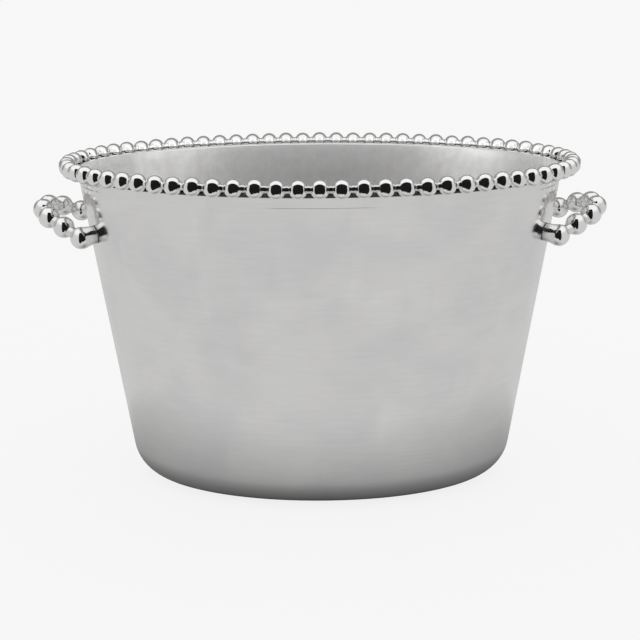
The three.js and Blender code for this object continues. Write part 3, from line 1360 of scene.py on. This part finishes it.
@dataclass(frozen=True)
class CameraStand:
    """Where the camera stands and how it is turned, in degrees."""

    place: Axes = (0.0, -0.8285, 0.3179)
    pitch: float = 14.559
    roll: float = -0.36
    yaw: float = 0.029
    lens: float = 73.0
    sensor_width: float = 36.0
    nearest: float = 0.01
    furthest: float = 500.0

    def build(self) -> None:
        """Sets the camera up, a little above the rim and looking slightly down on the bucket."""
        data = bpy.data.cameras.new("camera")
        data.sensor_width = self.sensor_width
        data.lens = self.lens
        data.clip_start = self.nearest
        data.clip_end = self.furthest
        data.dof.use_dof = False
        camera = bpy.data.objects.new("camera", data)
        bpy.context.scene.collection.objects.link(camera)
        turn = Matrix.Rotation(math.radians(self.yaw), 4, "Z")
        turn = turn @ Matrix.Rotation(math.radians(90.0 - self.pitch), 4, "X")
        turn = turn @ Matrix.Rotation(math.radians(self.roll), 4, "Z")
        camera.matrix_world = Matrix.Translation(self.place) @ turn
        bpy.context.scene.camera = camera


@dataclass(frozen=True)
class Strip:
    """One upright strip of the dark card in front."""

    left: float
    right: float
    foot: float
    top: float

    @property
    def across(self) -> Pair:
        """Where the strip starts and ends along X."""
        return self.left, self.right

    @property
    def central(self) -> bool:
        """True for the middle strip, which goes on down to the table."""
        return self.left < 0.0 < self.right


@dataclass
class Studio:
    """Pale floor, soft sky, cards that only polished metal sees, and lamps kept to one piece each."""

    background: float = 0.94
    floor_albedo: float = 0.12
    floor_light: float = 0.84
    floor_glow: float = 0.62
    floor_half_size: float = 60.0
    foot_half_size: Pair = (0.122, 0.0775)
    table_reach: float = 4.0
    table_edge: float = 0.52
    table_tones: tuple[Pair, ...] = ((0.20, 0.04), (0.25, 0.17), (0.30, 0.33), (0.40, 0.47))
    sky_front: float = 0.80
    sky_back: float = 0.34
    sky_high: float = 1.2
    sky_turn: Pair = (-0.15, 0.55)
    sky_climb: Pair = (0.40, 0.75)
    dark_card_glow: float = 0.01
    dark_card_distance: float = 0.200
    dark_card_slope: Pair = (-0.313, 0.001)
    dark_card_over: tuple[Pair, ...] = (
        (-0.200, 0.27), (-0.185, 0.305), (-0.155, 0.33), (-0.18, 0.43), (-0.207, 0.53)
    )
    strips: tuple[Strip, ...] = (
        Strip(-0.20, -0.125, 0.001, 0.205),
        Strip(-0.125, -0.06, 0.07, 0.205),
        Strip(-0.06, 0.06, 0.12, 0.186),
        Strip(0.06, 0.125, 0.07, 0.205),
        Strip(0.125, 0.20, 0.001, 0.205),
    )
    grey_card_glow: float = 0.30
    grey_card_distance: float = 0.165
    grey_card_across: Pair = (-0.27, 0.27)
    grey_card_height: float = 0.48
    lamp_gap: float = 0.0005
    wall_lamp_glow: float = 0.61
    back_lamp_foot: float = 0.001
    rim_lamp_across: Pair = (-0.15, 0.15)
    rim_lamp_distance: float = 0.02
    rim_lamp_span: Pair = (0.209, 0.31)
    bead_lamp_glow: float = 0.9
    inner_lamp_glow: float = 0.36

    def sheet(
        self, name: str, points: Sequence[Vector], faces: Sequence[tuple[int, ...]]
    ) -> bpy.types.Object:
        """A thin stage piece.

        Args:
            name: its name.
            points: its corners.
            faces: which corners each of its faces joins.

        Returns:
            The piece.
        """
        mesh = bpy.data.meshes.new(name)
        mesh.from_pydata(points, [], faces)
        made = bpy.data.objects.new(name, mesh)
        bpy.context.scene.collection.objects.link(made)
        return made

    def ground(self, name: str) -> bpy.types.Object:
        """A level square as big as the floor, at the floor's height.

        Args:
            name: its name.

        Returns:
            The square.
        """
        half = self.floor_half_size
        corners = [(-half, -half), (half, -half), (half, half), (-half, half)]
        return self.sheet(name, [Vector((x, y, 0.0)) for x, y in corners], [(0, 1, 2, 3)])

    @staticmethod
    def only_in_reflections(thing: bpy.types.Object) -> None:
        """Leaves a stage piece to be seen in mirror-like surfaces alone.

        Args:
            thing: the stage piece.
        """
        thing.visible_camera = False
        thing.visible_diffuse = False
        thing.visible_shadow = False
        thing.visible_transmission = False
        thing.visible_volume_scatter = False

    @staticmethod
    def glowing(name: str) -> tuple[bpy.types.Material, bpy.types.Node]:
        """A material that only glows.

        Args:
            name: its name.

        Returns:
            The material and its shader.
        """
        material = bpy.data.materials.new(name)
        material.use_nodes = True
        tree = material.node_tree
        tree.nodes.clear()
        glow = tree.nodes.new("ShaderNodeEmission")
        output = tree.nodes.new("ShaderNodeOutputMaterial")
        tree.links.new(glow.outputs["Emission"], output.inputs["Surface"])
        return material, glow

    def floor(self) -> None:
        """The pale floor, lit a little from within like a light table so that it stays even."""
        floor = self.ground("floor")
        floor.visible_glossy = False
        material = bpy.data.materials.new("pale_floor")
        material.use_nodes = True
        shader = material.node_tree.nodes["Principled BSDF"]
        shader.inputs["Base Color"].default_value = (self.floor_albedo,) * 3 + (1.0,)
        shader.inputs["Roughness"].default_value = 1.0
        shader.inputs["Specular IOR Level"].default_value = 0.0
        shader.inputs["Emission Color"].default_value = (1.0, 1.0, 1.0, 1.0)
        within = self.background - self.floor_albedo * self.floor_light
        shader.inputs["Emission Strength"].default_value = within
        floor.data.materials.append(material)

    def table_reflection(self) -> None:
        """What polished metal sees of the table: dark under the bucket, light further out."""
        table = self.ground("table_reflection")
        self.only_in_reflections(table)
        material, glow = self.glowing("table_glow")
        tree = material.node_tree
        place = tree.nodes.new("ShaderNodeTexCoord")
        mapping = tree.nodes.new("ShaderNodeMapping")
        half_length, half_width = self.foot_half_size
        mapping.inputs["Scale"].default_value = (1.0 / half_length, 1.0 / half_width, 0.0)
        distance = tree.nodes.new("ShaderNodeVectorMath")
        distance.operation = "LENGTH"
        share = tree.nodes.new("ShaderNodeMath")
        share.operation = "DIVIDE"
        share.inputs[1].default_value = self.table_reach
        ramp = tree.nodes.new("ShaderNodeValToRGB")
        stops = ramp.color_ramp.elements
        for number, (where, tone) in enumerate((*self.table_tones, (self.table_edge, self.floor_glow))):
            stop = stops[number] if number < 2 else stops.new(where)
            stop.position = where
            stop.color = (tone, tone, tone, 1.0)
        tree.links.new(place.outputs["Object"], mapping.inputs["Vector"])
        tree.links.new(mapping.outputs["Vector"], distance.inputs[0])
        tree.links.new(distance.outputs["Value"], share.inputs[0])
        tree.links.new(share.outputs[0], ramp.inputs["Fac"])
        tree.links.new(ramp.outputs["Color"], glow.inputs["Color"])
        table.data.materials.append(material)

    def card(self, name: str, across: Pair, profile: Sequence[Pair], tone: float) -> None:
        """A bent card that is seen only in reflections.

        Args:
            name: its name.
            across: where it starts and ends along X.
            profile: its section, as distances along Y and heights.
            tone: how brightly it glows.
        """
        points = [Vector((x, y, z)) for y, z in profile for x in across]
        faces = [(2 * i, 2 * i + 1, 2 * i + 3, 2 * i + 2) for i in range(len(profile) - 1)]
        made = self.sheet(name, points, faces)
        self.only_in_reflections(made)
        material, glow = self.glowing(f"{name}_tone")
        glow.inputs["Strength"].default_value = tone
        made.data.materials.append(material)

    def cards(self) -> None:
        """The dark card close in front that gives each bead its dark heart, and a grey one behind."""
        for number, strip in enumerate(self.strips):
            profile = [(-self.dark_card_distance, strip.foot), *self.dark_card_over]
            if strip.central:
                profile.insert(0, self.dark_card_slope)
            self.card(f"dark_card_{number + 1}", strip.across, profile, self.dark_card_glow)
        behind = self.grey_card_distance
        profile = [(behind, 0.0), (behind, self.grey_card_height)]
        self.card("grey_card", self.grey_card_across, profile, self.grey_card_glow)

    def lamp(
        self, name: str, across: Pair, start: Pair, end: Pair, glow: float, receiver: bpy.types.Object
    ) -> None:
        """A soft lamp that lights one piece alone, to make up for what a card hides from it.

        Args:
            name: its name.
            across: where it starts and ends along X.
            start: distance along Y and height of its first edge.
            end: the same for its other edge. A lamp that goes up from its start faces away from the
                camera, and one that goes down faces the camera.
            glow: how bright its face is.
            receiver: the piece that it lights.
        """
        rise = Vector((0.0, end[0] - start[0], end[1] - start[1]))
        width = across[1] - across[0]
        data = bpy.data.lights.new(name, "AREA")
        data.shape = "RECTANGLE"
        data.size = width
        data.size_y = rise.length
        data.energy = math.pi * width * rise.length * glow
        made = bpy.data.objects.new(name, data)
        bpy.context.scene.collection.objects.link(made)
        made.location = (sum(across) / 2.0, (start[0] + end[0]) / 2.0, (start[1] + end[1]) / 2.0)
        made.rotation_euler = (math.atan2(rise.z, rise.y), 0.0, 0.0)
        made.visible_camera = False
        receivers = bpy.data.collections.new(f"lit_by_{name}")
        receivers.objects.link(receiver)
        made.light_linking.receiver_collection = receivers

    def fill_lamps(self, shell: bpy.types.Object, border: bpy.types.Object) -> None:
        """The lamps that keep the cards out of the wall and out of the far beads.

        Args:
            shell: the shell.
            border: the beaded border.
        """
        near = self.lamp_gap - self.dark_card_distance
        for number, strip in enumerate(self.strips):
            foot, top = (near, strip.foot), (near, strip.top)
            self.lamp(f"wall_light_{number + 1}", strip.across, foot, top, self.wall_lamp_glow, shell)
            if strip.central:
                slope = (self.dark_card_slope[0] + self.lamp_gap, self.dark_card_slope[1])
                self.lamp("wall_light_low", strip.across, slope, foot, self.wall_lamp_glow, shell)
        behind = self.grey_card_distance - self.lamp_gap
        foot, top = (behind, self.back_lamp_foot), (behind, self.grey_card_height)
        glow = self.floor_glow - self.grey_card_glow
        self.lamp("back_wall_light", self.grey_card_across, top, foot, glow, shell)
        foot, top = [(self.rim_lamp_distance, height) for height in self.rim_lamp_span]
        self.lamp("far_bead_light", self.rim_lamp_across, foot, top, self.bead_lamp_glow, border)
        self.lamp("inner_wall_light", self.rim_lamp_across, foot, top, self.inner_lamp_glow, shell)

    def sky(self) -> None:
        """The sky: bright overhead, and lower down pale on the camera's side and grey on the far side."""
        world = bpy.data.worlds.new("studio")
        bpy.context.scene.world = world
        world.use_nodes = True
        tree = world.node_tree
        tree.nodes.clear()
        place = tree.nodes.new("ShaderNodeTexCoord")
        split = tree.nodes.new("ShaderNodeSeparateXYZ")
        tree.links.new(place.outputs["Generated"], split.inputs["Vector"])
        around = tree.nodes.new("ShaderNodeMapRange")
        above = tree.nodes.new("ShaderNodeMapRange")
        for ease, axis, span, reached in (
            (around, "Y", self.sky_turn, self.sky_back),
            (above, "Z", self.sky_climb, self.sky_high),
        ):
            ease.interpolation_type = "SMOOTHSTEP"
            ease.inputs["From Min"].default_value = span[0]
            ease.inputs["From Max"].default_value = span[1]
            ease.inputs["To Max"].default_value = reached
            tree.links.new(split.outputs[axis], ease.inputs["Value"])
        around.inputs["To Min"].default_value = self.sky_front
        light = tree.nodes.new("ShaderNodeBackground")
        output = tree.nodes.new("ShaderNodeOutputWorld")
        tree.links.new(around.outputs["Result"], above.inputs["To Min"])
        tree.links.new(above.outputs["Result"], light.inputs["Strength"])
        tree.links.new(light.outputs["Background"], output.inputs["Surface"])

    def build(self) -> None:
        """Sets the whole studio but its lamps, which wait for the pieces that they light."""
        CameraStand().build()
        self.sky()
        self.floor()
        self.table_reflection()
        self.cards()
        bpy.context.scene.view_settings.view_transform = "Standard"
        log.info("studio set")


def main() -> None:
    """Builds the studio and then the bucket, piece by piece."""
    logging.basicConfig(level=logging.INFO, format="%(name)s: %(message)s")
    wall = OvalWall()
    low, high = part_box("beaded_border")
    studio = Studio()
    studio.build()
    seats = {(side, row): LegSeat(wall, side, row) for side in Side for row in Row}
    shell = BucketShell(wall, list(seats.values())).build()
    border = BeadedBorder(low, high).build()
    studio.fill_lamps(shell, border)
    for side in Side:
        LoopHandle(wall, (seats[side, Row.FRONT], seats[side, Row.BACK])).build()
    for seat in seats.values():
        HandleScrew(seat).build()
        HandleWasher(seat).build()


if __name__ == "__main__":
    main()
